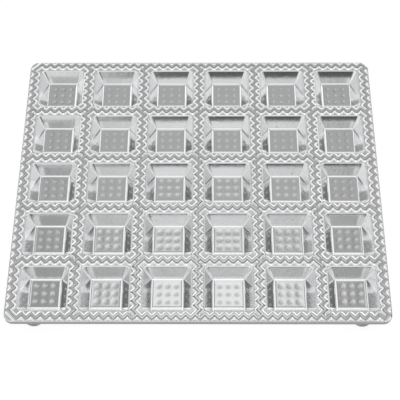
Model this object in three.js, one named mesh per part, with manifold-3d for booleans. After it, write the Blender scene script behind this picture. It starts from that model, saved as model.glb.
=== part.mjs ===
// Ravioli mould: a cast aluminium plate with a grid of square pockets and zig-zag cutting ridges,
// standing on four rubber feet that are screwed to bosses on its underside.
// Millimetres, +Z up, +X along the columns, +Y away from the front edge, feet standing on z = 0.
import * as THREE from "three";
import { mergeVertices } from "three/addons/utils/BufferGeometryUtils.js";
import Module from "manifold-3d";

// Grid of cells
const columns = 6;
const rows = 5;
const cellPitch = 42;

// Zig-zag ridge: an odd count of strokes makes the zig-zag meet each crossing the other way round
const strokesPerCell = 13;
const ridgeHeight = 2.5;
const ridgeTopWidth = 1.3;
const ridgeDraft = 0.4;
const ridgeRoot = 0.5;

// Plate
const edgeMargin = 4;
const plateCornerRadius = 6;
const plateThickness = 3;
const edgeChamfer = 0.4;
const plateCornerSteps = 6;

// Pocket
const rimWidth = 32.8;
const floorWidth = 22;
const pocketDepth = 8.2;
const floorFillet = 2.8;
const rimCornerRadius = 3;
const floorCornerRadius = 1.4;
const pocketCornerSteps = 2;
const rimOvercut = 0.2;

// Underside of a pocket
const wallThickness = 2;
const floorThickness = 2;

// Boss for a foot, measured to its centre from the plate's side and front or back edge
const footSideInset = 18.6;
const footEdgeInset = 9.8;
const bossRadius = 6.5;
const bossStandoff = 0.3;
const pilotRoof = 1.2;

// Rubber foot
const footHeight = 3.2;
const footTopRadius = 7.6;
const footBottomRadius = 7;
const footEdgeRound = 0.6;
const footRecessDepth = 2.3;
const footRecessClearance = 0.3;
const footSteps = 20;

// Washer and screw
const washerRadius = 3.8;
const washerThickness = 0.5;
const screwRadius = 1.45;
const screwClearance = 0.3;
const pilotClearance = 0.1;
const headRadius = 2.8;
const headHeight = 1.5;
const driveLength = 3;
const driveWidth = 0.7;
const driveDepth = 0.7;
const hardwareSteps = 12;

// Levels and sizes that follow from the values above. The land is the flat between the pockets.
const stroke = cellPitch / strokesPerCell;
const plateWidth = columns * cellPitch + 2 * edgeMargin;
const plateDepth = rows * cellPitch + 2 * edgeMargin;
const bossDrop = pocketDepth + floorThickness + bossStandoff;
const landLevel = footHeight + bossDrop;
const wallSlope = (rimWidth - floorWidth) / 2 / pocketDepth;
const wallAngle = Math.atan2(1, wallSlope);
const pilotRadius = screwRadius + pilotClearance;
const pilotFromCellCentre = cellPitch / 2 + edgeMargin - footEdgeInset - pilotRadius;
const wallDepthAtPilot = (rimWidth / 2 - pilotFromCellCentre) / wallSlope;
const pilotTop = landLevel - wallDepthAtPilot - pilotRoof;

const wasm = await Module();
wasm.setup();

// A closed three.js geometry as a solid for cutting and joining.
function solid(geometry) {
  const bare = geometry.clone();
  bare.deleteAttribute("normal");
  bare.deleteAttribute("uv");
  const welded = mergeVertices(bare, 1e-4);
  return new wasm.Manifold(
    new wasm.Mesh({
      numProp: 3,
      vertProperties: welded.attributes.position.array,
      triVerts: new Uint32Array(welded.index.array),
    }),
  );
}

// A solid as a three.js geometry.
function geometryOf(body) {
  const mesh = body.getMesh();
  const geometry = new THREE.BufferGeometry();
  geometry.setAttribute("position", new THREE.BufferAttribute(mesh.vertProperties, 3));
  geometry.setIndex(new THREE.BufferAttribute(mesh.triVerts, 1));
  geometry.computeVertexNormals();
  return geometry;
}

// Points of a rounded rectangle, counter-clockwise.
function roundedRectangle(width, depth, radius, steps) {
  const points = [];
  const corners = [
    [1, 1, 0],
    [-1, 1, 0.5],
    [-1, -1, 1],
    [1, -1, 1.5],
  ];
  for (const [sideX, sideY, quarter] of corners) {
    const centreX = sideX * (width / 2 - radius);
    const centreY = sideY * (depth / 2 - radius);
    for (let i = 0; i <= steps; i++) {
      const angle = (quarter + (0.5 * i) / steps) * Math.PI;
      points.push(
        new THREE.Vector2(
          centreX + radius * Math.cos(angle),
          centreY + radius * Math.sin(angle),
        ),
      );
    }
  }
  return points;
}

// A closed body through rings of equal point counts, listed from the lowest to the highest.
// Each ring is { points, z }.
function loft(rings) {
  const count = rings[0].points.length;
  const position = rings.flatMap((ring) => ring.points.flatMap((p) => [p.x, p.y, ring.z]));
  const index = [];
  for (let level = 0; level + 1 < rings.length; level++) {
    for (let i = 0; i < count; i++) {
      const a = level * count + i;
      const b = level * count + ((i + 1) % count);
      index.push(a, b, b + count, a, b + count, a + count);
    }
  }
  const top = (rings.length - 1) * count;
  for (const [a, b, c] of THREE.ShapeUtils.triangulateShape(rings[0].points, [])) {
    index.push(c, b, a);
    index.push(top + a, top + b, top + c);
  }
  const geometry = new THREE.BufferGeometry();
  geometry.setAttribute("position", new THREE.Float32BufferAttribute(position, 3));
  geometry.setIndex(index);
  return geometry;
}

// Where the lines of the grid cross, counted from the front left. Halves give the cells' centres.
function gridPoint(column, row) {
  return new THREE.Vector2(
    (column - columns / 2) * cellPitch,
    (row - rows / 2) * cellPitch,
  );
}

// The short stroke that the ridges share where they cross, from its left end to its right end.
// It leans one way at every second crossing, as a chessboard does, and the other way between.
function crossingStroke(column, row) {
  const lean = (column + row) % 2 === 0 ? 1 : -1;
  const half = new THREE.Vector2(stroke / 2, (lean * stroke) / 2);
  const centre = gridPoint(column, row);
  return [centre.clone().sub(half), centre.clone().add(half)];
}

// The zig-zag from one crossing to its neighbour, with the whole strokes of both crossings.
function zigzag(column, row, stepColumn, stepRow) {
  const start = crossingStroke(column, row);
  const along = new THREE.Vector2(stepColumn, stepRow);
  const across = new THREE.Vector2(Math.abs(stepRow), Math.abs(stepColumn));
  const centre = gridPoint(column, row);
  start.sort((p, q) => p.clone().sub(q).dot(along));
  let side = Math.sign(start[1].clone().sub(centre).dot(across));
  const points = [...start];
  for (let i = 1; i <= strokesPerCell; i++) {
    side = -side;
    points.push(
      centre
        .clone()
        .addScaledVector(along, (i + 0.5) * stroke)
        .addScaledVector(across, (side * stroke) / 2),
    );
  }
  return points;
}

// A closed loop of grid steps as one zig-zag outline. Where the path runs out along a crossing's
// stroke and straight back, that stroke is dropped, and points on a straight line are too.
function zigzagLoop(steps) {
  const path = steps.flatMap((step) => zigzag(...step));
  const same = (p, q) => p.distanceTo(q) < stroke / 100;
  const loop = [];
  for (const point of path) {
    if (loop.length && same(loop.at(-1), point)) continue;
    if (loop.length > 1 && same(loop.at(-2), point)) loop.pop();
    else loop.push(point);
  }
  while (same(loop[0], loop.at(-1)) || same(loop[0], loop.at(-2)) || same(loop[1], loop.at(-1))) {
    if (same(loop[0], loop.at(-1))) loop.pop();
    else if (same(loop[0], loop.at(-2))) loop.length -= 2;
    else loop.shift();
  }
  return loop.filter((point, i) => {
    const before = loop.at(i - 1).clone().sub(point);
    const after = loop[(i + 1) % loop.length].clone().sub(point);
    return Math.abs(before.cross(after)) > (stroke * stroke) / 100;
  });
}

// The outline moved outwards by `distance`, with sharp corners. Inwards is negative.
function offset(loop, distance) {
  return loop.map((point, i) => {
    const inward = point.clone().sub(loop.at(i - 1)).normalize();
    const outward = loop[(i + 1) % loop.length].clone().sub(point).normalize();
    const first = new THREE.Vector2(inward.y, -inward.x);
    const second = new THREE.Vector2(outward.y, -outward.x);
    const bisector = first.clone().add(second);
    return point.clone().addScaledVector(bisector, distance / (1 + first.dot(second)));
  });
}

// The grid steps round a block of cells, counter-clockwise from its front left crossing.
function stepsRound(column, row, wide, deep) {
  const steps = [];
  for (let i = 0; i < wide; i++) steps.push([column + i, row, 1, 0]);
  for (let i = 0; i < deep; i++) steps.push([column + wide, row + i, 0, 1]);
  for (let i = 0; i < wide; i++) steps.push([column + wide - i, row + deep, -1, 0]);
  for (let i = 0; i < deep; i++) steps.push([column, row + deep - i, 0, -1]);
  return steps;
}

// Calls `make` for every cell with the cell's centre.
function forEachCell(make) {
  for (let row = 0; row < rows; row++) {
    for (let column = 0; column < columns; column++) {
      make(column, row, gridPoint(column + 0.5, row + 0.5));
    }
  }
}

// The whole network of ridges: the outline of the grid with one hole for each cell. Its sides lean
// in towards the top, and its root lies inside the plate.
function ridgeNetwork() {
  const halfTop = ridgeTopWidth / 2;
  const outline = new THREE.Shape(
    offset(zigzagLoop(stepsRound(0, 0, columns, rows)), halfTop),
  );
  forEachCell((column, row) => {
    const cell = zigzagLoop(stepsRound(column, row, 1, 1));
    outline.holes.push(new THREE.Path(offset(cell, -halfTop).reverse()));
  });
  const ridges = new THREE.ExtrudeGeometry(outline, {
    depth: ridgeRoot,
    bevelThickness: ridgeHeight + ridgeRoot,
    bevelSize: ridgeDraft * (1 + ridgeRoot / ridgeHeight),
    bevelSegments: 1,
  });
  const widest = landLevel - 2 * ridgeRoot;
  return solid(ridges.translate(0, 0, widest)).trimByPlane([0, 0, 1], widest + ridgeRoot / 2);
}

// The flat plate with its rounded corners and lightly broken edges.
function plateSlab() {
  const outline = new THREE.Shape(
    roundedRectangle(
      plateWidth - 2 * edgeChamfer,
      plateDepth - 2 * edgeChamfer,
      plateCornerRadius - edgeChamfer,
      plateCornerSteps,
    ),
  );
  const slab = new THREE.ExtrudeGeometry(outline, {
    depth: plateThickness - 2 * edgeChamfer,
    bevelThickness: edgeChamfer,
    bevelSize: edgeChamfer,
    bevelSegments: 1,
  });
  return solid(slab.translate(0, 0, landLevel - plateThickness + edgeChamfer));
}

// One level of a pocket: a rounded square `depth` below the land, moved out by `grow`.
function pocketRing(depth, width, grow) {
  const share = Math.min(Math.max(depth / pocketDepth, 0), 1);
  const radius = THREE.MathUtils.lerp(rimCornerRadius, floorCornerRadius, share);
  const full = width + 2 * grow;
  return {
    points: roundedRectangle(full, full, radius + grow, pocketCornerSteps),
    z: landLevel - depth,
  };
}

// Width across the straight walls at a depth below the land.
function wallWidth(depth) {
  return rimWidth - 2 * wallSlope * depth;
}

// The hollow of a pocket: sloping walls that run into the floor by a fillet.
function pocketHollow() {
  const tangent = floorFillet * Math.tan(wallAngle / 2);
  const start = pocketDepth - tangent * Math.sin(wallAngle);
  const half = wallAngle / 2;
  const middleDepth = pocketDepth - floorFillet * (1 - Math.cos(half));
  const middleWidth = floorWidth - 2 * tangent + 2 * floorFillet * Math.sin(half);
  const above = -rimOvercut;
  return solid(
    loft([
      pocketRing(pocketDepth, floorWidth - 2 * tangent, 0),
      pocketRing(middleDepth, middleWidth, 0),
      pocketRing(start, wallWidth(start), 0),
      pocketRing(above, wallWidth(above), 0),
    ]),
  );
}

// The shell of a pocket below the plate, solid until the hollow is cut out of it.
function pocketShell() {
  const grow = wallThickness / Math.sin(wallAngle);
  const bottom = pocketDepth + floorThickness;
  const inPlate = plateThickness / 2;
  return solid(
    loft([
      pocketRing(bottom, wallWidth(bottom), grow),
      pocketRing(inPlate, wallWidth(inPlate), grow),
    ]),
  );
}

// A revolved body from a closed profile of [radius, z] pairs, counter-clockwise.
function revolved(profile, steps) {
  const points = profile.map(([radius, z]) => new THREE.Vector2(radius, z));
  return new THREE.LatheGeometry(points, steps).rotateX(Math.PI / 2);
}

// A cylinder standing on `low` and reaching to `high`.
function post(radius, low, high, steps) {
  const profile = [
    [0, low],
    [radius, low],
    [radius, high],
    [0, high],
  ];
  return revolved(profile, steps);
}

// Centres of the feet by name.
const footPlaces = {};
for (const [depthName, sideY] of [["front", -1], ["back", 1]]) {
  for (const [widthName, sideX] of [["left", -1], ["right", 1]]) {
    footPlaces[`${depthName}_${widthName}`] = new THREE.Vector2(
      sideX * (plateWidth / 2 - footSideInset),
      sideY * (plateDepth / 2 - footEdgeInset),
    );
  }
}

// The casting: plate, ridges, pocket shells and bosses in one, then hollowed and drilled.
function castPlate() {
  let body = plateSlab().add(ridgeNetwork());
  const shell = pocketShell();
  const hollow = pocketHollow();
  const bossTop = landLevel - plateThickness / 2;
  const boss = solid(post(bossRadius, footHeight, bossTop, footSteps));
  const pilot = solid(post(pilotRadius, footHeight - 1, pilotTop, hardwareSteps));
  forEachCell((column, row, centre) => {
    body = body.add(shell.translate([centre.x, centre.y, 0]));
  });
  for (const place of Object.values(footPlaces)) {
    body = body.add(boss.translate([place.x, place.y, 0]));
  }
  forEachCell((column, row, centre) => {
    body = body.subtract(hollow.translate([centre.x, centre.y, 0]));
  });
  for (const place of Object.values(footPlaces)) {
    body = body.subtract(pilot.translate([place.x, place.y, 0]));
  }
  return geometryOf(body);
}

// A low rubber foot with a recess from below for the washer and the screw head.
function rubberFoot() {
  const recess = washerRadius + footRecessClearance;
  const bore = screwRadius + screwClearance;
  const profile = [
    [recess, 0],
    [footBottomRadius - footEdgeRound, 0],
    [footBottomRadius - 0.3 * footEdgeRound, 0.3 * footEdgeRound],
    [footBottomRadius, footEdgeRound],
    [footTopRadius, footHeight],
    [bore, footHeight],
    [bore, footRecessDepth],
    [recess, footRecessDepth],
    [recess, 0],
  ];
  return revolved(profile, footSteps);
}

// The steel washer against the roof of the foot's recess.
function washer() {
  const bore = screwRadius + screwClearance;
  const low = footRecessDepth - washerThickness;
  const profile = [
    [bore, low],
    [washerRadius, low],
    [washerRadius, footRecessDepth],
    [bore, footRecessDepth],
    [bore, low],
  ];
  return revolved(profile, hardwareSteps);
}

// A pan-head screw with a cross recess, head down against the washer.
function screw() {
  const seat = footRecessDepth - washerThickness;
  const low = seat - headHeight;
  const tip = pilotTop - screwClearance;
  const profile = [
    [0, low],
    [0.55 * headRadius, low],
    [0.9 * headRadius, low + 0.35 * headHeight],
    [headRadius, seat - 0.2 * headHeight],
    [headRadius, seat],
    [screwRadius, seat],
    [screwRadius, tip - screwRadius],
    [0.4 * screwRadius, tip],
    [0, tip],
  ];
  const body = solid(revolved(profile, hardwareSteps));
  const arm = new THREE.BoxGeometry(driveLength, driveWidth, 2 * driveDepth).translate(0, 0, low);
  const drive = solid(arm).add(solid(arm.clone().rotateZ(Math.PI / 2)));
  return geometryOf(body.subtract(drive));
}

const castAluminium = { color: 0xc9ccce, metalness: 1, roughness: 0.3 };
const greyRubber = { color: 0x55585a, metalness: 0, roughness: 0.5 };
const plainSteel = { color: 0xb5b8ba, metalness: 1, roughness: 0.35 };

// A named mesh with a material of its own.
function piece(name, geometry, look) {
  const mesh = new THREE.Mesh(geometry, new THREE.MeshStandardMaterial(look));
  mesh.name = name;
  return mesh;
}

const mould = new THREE.Group();
mould.name = "ravioli_mould";
mould.add(piece("mould_plate", castPlate(), castAluminium));
for (const [name, place] of Object.entries(footPlaces)) {
  const stand = new THREE.Group();
  stand.name = `stand_${name}`;
  stand.position.set(place.x, place.y, 0);
  stand.add(piece(`foot_${name}`, rubberFoot(), greyRubber));
  stand.add(piece(`washer_${name}`, washer(), plainSteel));
  stand.add(piece(`screw_${name}`, screw(), plainSteel));
  mould.add(stand);
}

export default mould;
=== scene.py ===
"""Looks of a ravioli mould: a cast aluminium plate of pockets and zig-zag ridges on four rubber feet."""
import logging
import math
from collections.abc import Callable, Mapping, Sequence
from dataclasses import dataclass, field
from enum import Enum
from typing import ClassVar

import bmesh
import bpy
from mathutils import Matrix, Vector
from mathutils.geometry import area_tri, delaunay_2d_cdt, intersect_point_line


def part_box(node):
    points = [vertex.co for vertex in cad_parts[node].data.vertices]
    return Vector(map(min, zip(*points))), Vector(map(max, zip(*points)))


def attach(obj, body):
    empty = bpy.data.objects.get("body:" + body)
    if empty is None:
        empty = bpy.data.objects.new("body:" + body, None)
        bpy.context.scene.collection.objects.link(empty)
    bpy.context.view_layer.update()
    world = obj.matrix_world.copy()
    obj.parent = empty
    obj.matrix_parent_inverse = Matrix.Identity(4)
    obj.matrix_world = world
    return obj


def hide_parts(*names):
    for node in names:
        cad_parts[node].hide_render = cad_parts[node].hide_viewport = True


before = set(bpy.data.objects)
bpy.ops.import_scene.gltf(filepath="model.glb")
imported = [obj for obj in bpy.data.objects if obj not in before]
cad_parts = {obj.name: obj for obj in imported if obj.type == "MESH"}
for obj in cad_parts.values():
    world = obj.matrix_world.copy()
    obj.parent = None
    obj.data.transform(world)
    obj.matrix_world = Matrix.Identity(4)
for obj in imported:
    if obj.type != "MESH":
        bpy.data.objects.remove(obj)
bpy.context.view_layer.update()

MM = 0.001
BODY = "root"
LOG = logging.getLogger("ravioli_mould")

SLIVER = 1e-4  # square millimetres, under which a triangle is dropped
CLOSE = 1e-6  # millimetres, under which two points of a filling are one
SEAM = 1e-7  # metres, under which two points of a turned body are one
WELD = 2e-6  # metres, under which two points of the casting are one
LEAST_BEND = 0.2  # millimetres, the tightest bend of a ridge
STRAIGHT = 0.01  # radians, under which half a bend counts as none
FILL_INSIDE = 1  # the triangulation's mode that keeps only what lies inside its outer edges
TURN_STEPS = 48  # steps round a small turned body

Point = tuple[float, float]
Spot = tuple[float, float, float]
Colour = tuple[float, float, float, float]
WHITE: Colour = (1.0, 1.0, 1.0, 1.0)


class Surface(Enum):
    """The kinds of surface on the casting, each a mark that the finish reads."""

    CREST = "crest"
    FLANK = "flank"
    ROOT = "root"
    LAND = "land"
    WALL = "wall"
    FLOOR = "floor"
    DIMPLE = "dimple"
    EDGE = "edge"
    UNDERSIDE = "underside"


class Corner(Enum):
    """The four feet by their place, in the words of the CAD nodes."""

    FRONT_LEFT = "front_left"
    FRONT_RIGHT = "front_right"
    BACK_LEFT = "back_left"
    BACK_RIGHT = "back_right"


class Slot(Enum):
    """The material slots of the record."""

    ALUMINIUM = "cast_aluminium"
    RUBBER = "grey_rubber"
    STEEL = "plain_steel"


def operator(operation: str) -> tuple[Callable[..., "Socket"], Callable[..., "Socket"]]:
    """An arithmetic operator that adds a Math node.

    Args:
        operation: the Math node's operation.

    Returns:
        The operator, and its reflected form for a number on the left.
    """

    def plain(left: "Socket", right: "Value") -> "Socket":
        """The operator with a socket on the left."""
        return left.math(operation, left, right)

    def reflected(right: "Socket", left: "Value") -> "Socket":
        """The operator with a number on the left."""
        return right.math(operation, left, right)

    return plain, reflected


class Socket:
    """An output of a node, on which arithmetic adds Math nodes."""

    __add__, __radd__ = operator("ADD")
    __sub__, __rsub__ = operator("SUBTRACT")
    __mul__, __rmul__ = operator("MULTIPLY")
    __truediv__, __rtruediv__ = operator("DIVIDE")
    __mod__, __rmod__ = operator("FLOORED_MODULO")

    def __init__(self, tree: "Tree", output: bpy.types.NodeSocket) -> None:
        """Wraps an output of a tree."""
        self.tree = tree
        self.output = output

    def math(self, operation: str, *values: "Value") -> "Socket":
        """Adds a Math node on values."""
        return self.tree.node("ShaderNodeMath", {"operation": operation}, dict(enumerate(values)))

    def floored(self) -> "Socket":
        """The value without its fraction."""
        return self.math("FLOOR", self)

    def at_most(self, other: "Value") -> "Socket":
        """The smaller of two values."""
        return self.math("MINIMUM", self, other)

    def at_least(self, other: "Value") -> "Socket":
        """The larger of two values."""
        return self.math("MAXIMUM", self, other)

    def rises(self, low: float, high: float) -> "Socket":
        """A smooth step.

        Args:
            low: the value at which the step starts.
            high: the value at which it ends; lower than `low` for a step down.

        Returns:
            A value that goes from 0 to 1.
        """
        settings = {"interpolation_type": "SMOOTHSTEP"}
        ends = (low, high, 0.0, 1.0) if low < high else (high, low, 1.0, 0.0)
        return self.tree.node("ShaderNodeMapRange", settings, dict(enumerate((self, *ends))))


Value = Socket | float


class Tree:
    """A node tree that is written in expressions."""

    def __init__(self, nodes: bpy.types.NodeTree) -> None:
        """Takes a tree to add nodes to."""
        self.nodes = nodes

    def node(
        self,
        kind: str,
        settings: Mapping[str, object] | None = None,
        inputs: Mapping[str | int, object] | None = None,
        output: str | int = 0,
    ) -> Socket:
        """Adds any node.

        Args:
            kind: the node's type.
            settings: its properties, which are set first.
            inputs: a value, a link or a list of links for the name or number of each input.
            output: the name or number of the output that is wanted.

        Returns:
            That output.
        """
        made = self.nodes.nodes.new(kind)
        for name, value in (settings or {}).items():
            setattr(made, name, value)
        for name, value in (inputs or {}).items():
            self.feed(made.inputs[name], value)
        return Socket(self, made.outputs[output])

    def feed(self, target: bpy.types.NodeSocket, value: object) -> None:
        """Links outputs to an input, or sets the input's value.

        Args:
            target: the input socket.
            value: a Socket, a list of them in their order, or a plain value.
        """
        for one in value if isinstance(value, list) else [value]:
            if isinstance(one, Socket):
                self.nodes.links.new(one.output, target)
            else:
                target.default_value = one

    def mark(self, surface: Surface) -> Socket:
        """The share of a surface mark at a point, from 0 to 1."""
        return self.node("ShaderNodeAttribute", {"attribute_name": surface.value}, None, "Fac")

    def place(self) -> Socket:
        """The point on the object, in metres."""
        return self.node("ShaderNodeTexCoord", None, None, "Object")

    def stretched(self, point: Socket, scale: Spot) -> Socket:
        """A point with each axis scaled by a factor, for a pattern that runs one way."""
        return self.node("ShaderNodeMapping", None, {"Vector": point, "Scale": scale})

    def noise(self, point: Socket, per_metre: float, detail: float = 2.0, rough: float = 0.5) -> Socket:
        """Noise round 0.5: its clouds to a metre, the count of its finer layers and how strong those are."""
        sizes = {"Vector": point, "Scale": per_metre, "Detail": detail, "Roughness": rough}
        return self.node("ShaderNodeTexNoise", None, sizes)

    def cells(self, point: Socket, per_metre: float) -> Socket:
        """Distance to the nearest of many scattered points, in cells."""
        return self.node("ShaderNodeTexVoronoi", None, {"Vector": point, "Scale": per_metre}, "Distance")

    def blend_colours(self, share: Value, first: object, second: object) -> Socket:
        """A mix of two colours, with a share of the second."""
        return self.node("ShaderNodeMix", {"data_type": "RGBA"}, {0: share, 6: first, 7: second}, 2)

    def relief(self, height: Socket) -> Socket:
        """A surface normal bent by a relief, whose height is in metres."""
        return self.node("ShaderNodeBump", None, {"Strength": 1.0, "Distance": 1.0, "Height": height})

    def geometry_of(self, thing: Socket) -> Socket:
        """The geometry of an object."""
        return self.node("GeometryNodeObjectInfo", None, {"Object": thing}, "Geometry")

    def placed(self, thing: Socket, points: Socket, chosen: Value | bool = True) -> Socket:
        """An object's geometry on those points that are chosen, as instances."""
        inputs = {"Points": points, "Selection": chosen, "Instance": self.geometry_of(thing)}
        return self.node("GeometryNodeInstanceOnPoints", None, inputs)

    def realized(self, geometry: Socket) -> Socket:
        """Instances turned into plain geometry."""
        return self.node("GeometryNodeRealizeInstances", None, {"Geometry": geometry})

    def boolean(self, operation: str, body: Socket, tool: Socket) -> Socket:
        """Joins two solids, or cuts the second from the first.

        Args:
            operation: UNION or DIFFERENCE.
            body: the first solid.
            tool: the second solid.

        Returns:
            The result.
        """
        settings = {"operation": operation, "solver": "MANIFOLD"}
        solids = {"Mesh 2": [body, tool]} if operation == "UNION" else {"Mesh 1": body, "Mesh 2": tool}
        return self.node("GeometryNodeMeshBoolean", settings, solids, "Mesh")


def new_material(name: str) -> tuple[bpy.types.Material, Tree, bpy.types.Node]:
    """An empty material.

    Args:
        name: the material's name.

    Returns:
        The material, its tree and its output node.
    """
    made = bpy.data.materials.new(name)
    made.use_nodes = True
    made.node_tree.nodes.clear()
    output = made.node_tree.nodes.new("ShaderNodeOutputMaterial")
    return made, Tree(made.node_tree), output


@dataclass(frozen=True)
class Finish:
    """The finish of one slot of the record. Each kind says how it looks."""

    slot: ClassVar[Slot]

    def look(self, tree: Tree, place: Socket) -> dict[str, object]:
        """The inputs of the surface's shader, from the place on the object."""
        raise NotImplementedError

    def material(self) -> bpy.types.Material:
        """Makes the material.

        Returns:
            The material, named for its slot.
        """
        made, tree, output = new_material(self.slot.value)
        shader = tree.node("ShaderNodeBsdfPrincipled", None, self.look(tree, tree.place()))
        tree.feed(output.inputs["Surface"], shader)
        return made


@dataclass(frozen=True)
class CastAluminium(Finish):
    """Bare cast aluminium: hand-polished pockets, tumbled ridges and a rougher flat between them, with
    painted shade on the ridges' flanks and a painted dark reflection on the plate's edge.

    Heights of the relief are metres. The other values are shares.
    """

    slot: ClassVar[Slot] = Slot.ALUMINIUM
    colour: Colour = (0.90, 0.905, 0.91, 1.0)
    # The grey of tarnish in the roots. The plate's edge is also blended towards it as a painted reflection
    # of a dark floor.
    tarnish_and_painted_reflection: Colour = (0.42, 0.42, 0.42, 1.0)
    # The dark of crumbs and pits. The ridges' flanks are also blended towards it as painted shade, and the
    # plate's edge as a painted dark reflection.
    soot_and_painted_shade: Colour = (0.10, 0.10, 0.10, 1.0)
    roughness: tuple[tuple[Surface, float], ...] = (
        (Surface.CREST, 0.10),
        (Surface.FLANK, 0.30),
        (Surface.ROOT, 0.20),
        (Surface.LAND, 0.21),
        (Surface.WALL, 0.12),
        (Surface.FLOOR, 0.11),
        (Surface.DIMPLE, 0.29),
        (Surface.EDGE, 0.26),
        (Surface.UNDERSIDE, 0.42),
    )
    cloud_roughness: float = 0.08
    grain_roughness: float = 0.06
    root_tarnish: float = 0.15
    # How far the plate's edge is greyed: a painted reflection of a dark floor below it.
    edge_painted_grey_reflection: float = 0.75
    # How far the ridges' steep flanks are darkened: painted shade.
    flank_painted_shade: float = 0.65
    # How far the plate's edge is darkened further: a painted dark reflection.
    edge_painted_dark_reflection: float = 0.55
    crumb_soot: float = 0.9
    pit_soot: float = 0.35
    wave_height: float = 0.8e-5
    wall_wave_height: float = 2.2e-5
    peel_height: float = 0.6e-5
    wall_peel_height: float = 1.8e-5
    grain_height: float = 4.0e-6
    pit_depth: float = 3.0e-5

    def look(self, tree: Tree, place: Socket) -> dict[str, object]:
        """Polish, tarnish, pits and crumbs by the marks on the casting, with painted shade on the ridges'
        flanks and a painted dark reflection on the plate's edge.

        Args:
            tree: the material's tree.
            place: the point on the object.

        Returns:
            The shader's inputs.
        """
        marks = {surface: tree.mark(surface) for surface in Surface}
        wall = marks[Surface.WALL]
        edge = marks[Surface.EDGE]
        cloud = tree.noise(place, 45.0, detail=4.0, rough=0.55)
        wave = tree.noise(place, 85.0, detail=1.0)
        peel = tree.noise(place, 340.0, rough=0.45)
        grain = tree.noise(place, 1500.0, detail=3.0, rough=0.6)
        pitted = tree.noise(place, 120.0).rises(0.56, 0.64)
        pit = tree.cells(place, 210.0).rises(0.16, 0.05) * pitted
        crumbly = tree.noise(place, 240.0, detail=3.0).rises(0.54, 0.62)
        crumb = tree.cells(place, 330.0).rises(0.22, 0.08) * crumbly

        polish = sum(marks[surface] * value for surface, value in self.roughness)
        cloudy = (cloud - 0.5) * self.cloud_roughness
        grainy = (grain - 0.5) * self.grain_roughness
        # Roots get cloudy tarnish. The edge gets a painted reflection of a dark floor, first grey and then
        # darker. The flanks get painted shade. Crumbs on the edge and pits are dark marks of wear.
        dull = marks[Surface.ROOT] * cloud.rises(0.45, 0.75) * self.root_tarnish + edge * self.edge_painted_grey_reflection
        painted_shade_and_reflection = marks[Surface.FLANK] * self.flank_painted_shade + edge * self.edge_painted_dark_reflection
        pits_and_painted_shade = edge * crumb * self.crumb_soot + painted_shade_and_reflection + pit * self.pit_soot
        tarnished_and_painted_colour = tree.blend_colours(dull.at_most(1.0), self.colour, self.tarnish_and_painted_reflection)
        height = (
            (wave - 0.5) * (wall * self.wall_wave_height + self.wave_height)
            + (peel - 0.5) * (wall * self.wall_peel_height + self.peel_height)
            + (grain - 0.5) * self.grain_height
            - pit * self.pit_depth
        )
        return {
            "Base Color": tree.blend_colours(pits_and_painted_shade.at_most(1.0), tarnished_and_painted_colour, self.soot_and_painted_shade),
            "Metallic": 1.0,
            "Roughness": polish + cloudy + grainy,
            "Normal": tree.relief(height),
        }


@dataclass(frozen=True)
class GreyRubber(Finish):
    """Smooth moulded rubber with a soft gloss and a fine skin, whose height is in metres."""

    slot: ClassVar[Slot] = Slot.RUBBER
    colour: Colour = (0.40, 0.40, 0.40, 1.0)
    worn: Colour = (0.52, 0.52, 0.52, 1.0)
    roughness: float = 0.20
    cloud_roughness: float = 0.2
    skin_height: float = 6.0e-6

    def look(self, tree: Tree, place: Socket) -> dict[str, object]:
        """Worn clouds and the skin.

        Args:
            tree: the material's tree.
            place: the point on the object.

        Returns:
            The shader's inputs.
        """
        cloud = tree.noise(place, 260.0, detail=4.0, rough=0.6)
        skin = tree.noise(place, 2600.0)
        return {
            "Base Color": tree.blend_colours(cloud.rises(0.45, 0.80), self.colour, self.worn),
            "Roughness": self.roughness + (cloud - 0.5) * self.cloud_roughness,
            "Normal": tree.relief((skin - 0.5) * self.skin_height),
        }


@dataclass(frozen=True)
class PlainSteel(Finish):
    """Bright zinc-plated steel with fine turning marks, whose height is in metres."""

    slot: ClassVar[Slot] = Slot.STEEL
    colour: Colour = (0.66, 0.67, 0.69, 1.0)
    dull: Colour = (0.40, 0.40, 0.41, 1.0)
    dull_share: float = 0.6
    roughness: float = 0.30
    cloud_roughness: float = 0.2
    mark_height: float = 5.0e-6
    mark_stretch: Spot = (1.0, 1.0, 12.0)

    def look(self, tree: Tree, place: Socket) -> dict[str, object]:
        """Dull clouds and the turning marks.

        Args:
            tree: the material's tree.
            place: the point on the object.

        Returns:
            The shader's inputs.
        """
        cloud = tree.noise(place, 400.0, detail=4.0, rough=0.6)
        lines = tree.noise(tree.stretched(place, self.mark_stretch), 1800.0)
        dulled = cloud.rises(0.45, 0.75) * self.dull_share
        return {
            "Base Color": tree.blend_colours(dulled, self.colour, self.dull),
            "Metallic": 1.0,
            "Roughness": self.roughness + (cloud - 0.5) * self.cloud_roughness,
            "Normal": tree.relief((lines - 0.5) * self.mark_height),
        }


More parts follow.
